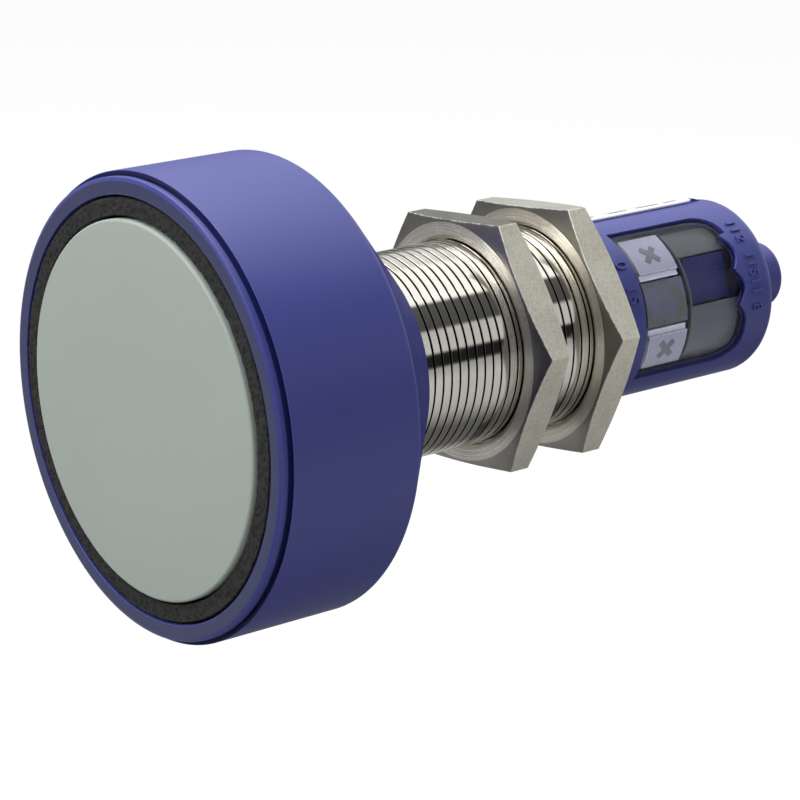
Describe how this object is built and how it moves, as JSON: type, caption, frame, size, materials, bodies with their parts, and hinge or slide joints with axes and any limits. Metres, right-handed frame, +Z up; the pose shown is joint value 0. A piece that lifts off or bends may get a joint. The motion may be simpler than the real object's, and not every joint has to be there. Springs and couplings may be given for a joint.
{
  "type": "ultrasonic sensor",
  "caption": "Cylindrical ultrasonic distance sensor with a wide round head, a threaded sleeve with lock nuts, a rear housing with keys under a clear window, and a round plug stub.",
  "frame": {"origin": "centre of the sound-emitting face", "axes": "-Y out of the sensing face, +Y along the sleeve to the plug stub, +Z up, the window looks towards +X and a little up"},
  "size_m": [0.065, 0.1169, 0.065],
  "materials": {
    "housing": "moulded blue plastic, satin",
    "bezel": "moulded dark blue plastic, matt",
    "face": "pale grey-green, smooth and matt",
    "foam": "black closed-cell foam",
    "nickel": "nickel-plated brass, satin",
    "clear": "clear plastic, glossy",
    "frosted": "translucent grey-white plastic, frosted",
    "display": "dark navy, glossy",
    "seal": "black rubber",
    "ceramic": "piezo ceramic, matt",
    "board": "circuit board with solder mask",
    "electronics": "black moulded components",
    "contact": "gold-plated brass",
    "wire": "insulated lead"
  },
  "bodies": {
    "sensor_body": {"head_housing": "housing", "front_bezel": "bezel", "foam_ring": "foam", "transducer_face": "face", "piezo_disc": "ceramic", "backing_foam": "foam", "transducer_lead_1": "wire", "transducer_lead_2": "wire", "threaded_sleeve": "nickel", "head_seal": "seal", "rear_seal": "seal", "rear_housing": "housing", "window_cover": "clear", "light_guide": "frosted", "status_display": "display", "display_surround": "frosted", "main_board": "board", "key_board": "board", "board_link": "electronics", "key_switch_1": "electronics", "key_switch_2": "electronics", "indicator_led_1": "frosted", "indicator_led_2": "frosted", "transformer": "electronics", "capacitor_1": "electronics", "capacitor_2": "electronics", "controller_chip": "electronics", "driver_chip": "electronics", "temperature_sensor": "electronics", "contact_insert": "electronics", "contact_pin_1": "contact", "contact_pin_2": "contact", "contact_pin_3": "contact", "contact_pin_4": "contact", "contact_pin_5": "contact"},
    "front_lock_nut": {"front_nut": "nickel"},
    "rear_lock_nut": {"rear_nut": "nickel"},
    "first_key": {"key_1": "frosted"},
    "second_key": {"key_2": "frosted"}
  },
  "joints": [
    {"name": "front_nut_turn", "type": "hinge", "parent": "sensor_body", "child": "front_lock_nut", "pos_m": [0, 0.0571, 0], "axis": [0, 1, 0], "continuous": true},
    {"name": "rear_nut_turn", "type": "hinge", "parent": "sensor_body", "child": "rear_lock_nut", "pos_m": [0, 0.0705, 0], "axis": [0, 1, 0], "continuous": true},
    {"name": "key_1_press", "type": "slide", "parent": "sensor_body", "child": "first_key", "axis": [-0.9524, 0, -0.3049], "range_m": [0, 0.00025], "stiffness_N_per_m": 6000},
    {"name": "key_2_press", "type": "slide", "parent": "sensor_body", "child": "second_key", "axis": [-0.9524, 0, -0.3049], "range_m": [0, 0.00025], "stiffness_N_per_m": 6000}
  ]
}
